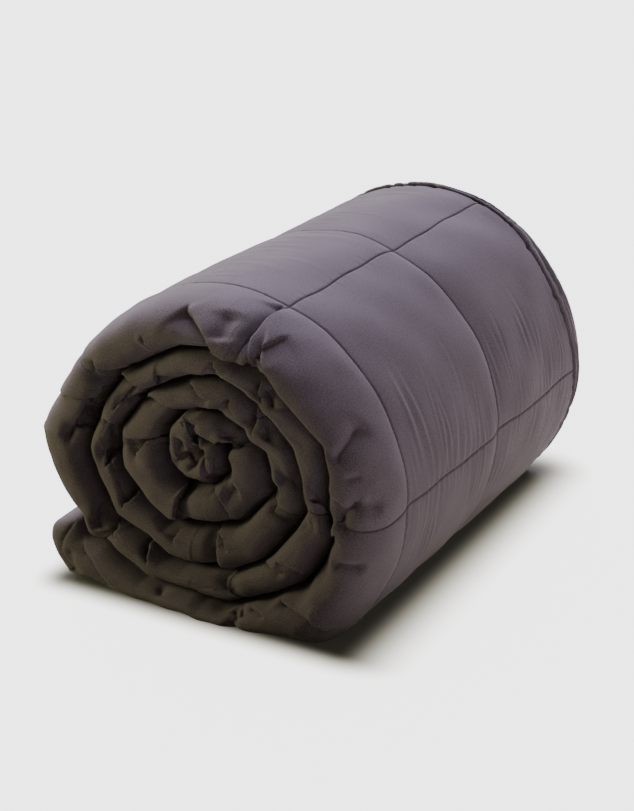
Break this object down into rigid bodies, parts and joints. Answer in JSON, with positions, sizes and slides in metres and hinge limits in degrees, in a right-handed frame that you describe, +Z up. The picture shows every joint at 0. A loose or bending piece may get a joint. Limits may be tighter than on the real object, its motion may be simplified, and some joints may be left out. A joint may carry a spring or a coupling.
{
  "type": "weighted blanket",
  "caption": "Quilted weighted blanket, folded in quarters and rolled up, lying on its side with its hemmed loose end tucked out flat underneath.",
  "frame": {"origin": "middle of the bounding box, on the surface the roll lies on", "axes": "+Y along the roll's axis, from the closed fold at -Y to the hems at +Y; +Z up; the loose end shows low on the -X side"},
  "size_m": [0.2896, 0.3758, 0.2426],
  "materials": {
    "cotton_cover": "matt finely woven cotton"
  },
  "bodies": {
    "root": {"rolled_blanket": "cotton_cover"}
  },
  "joints": []
}
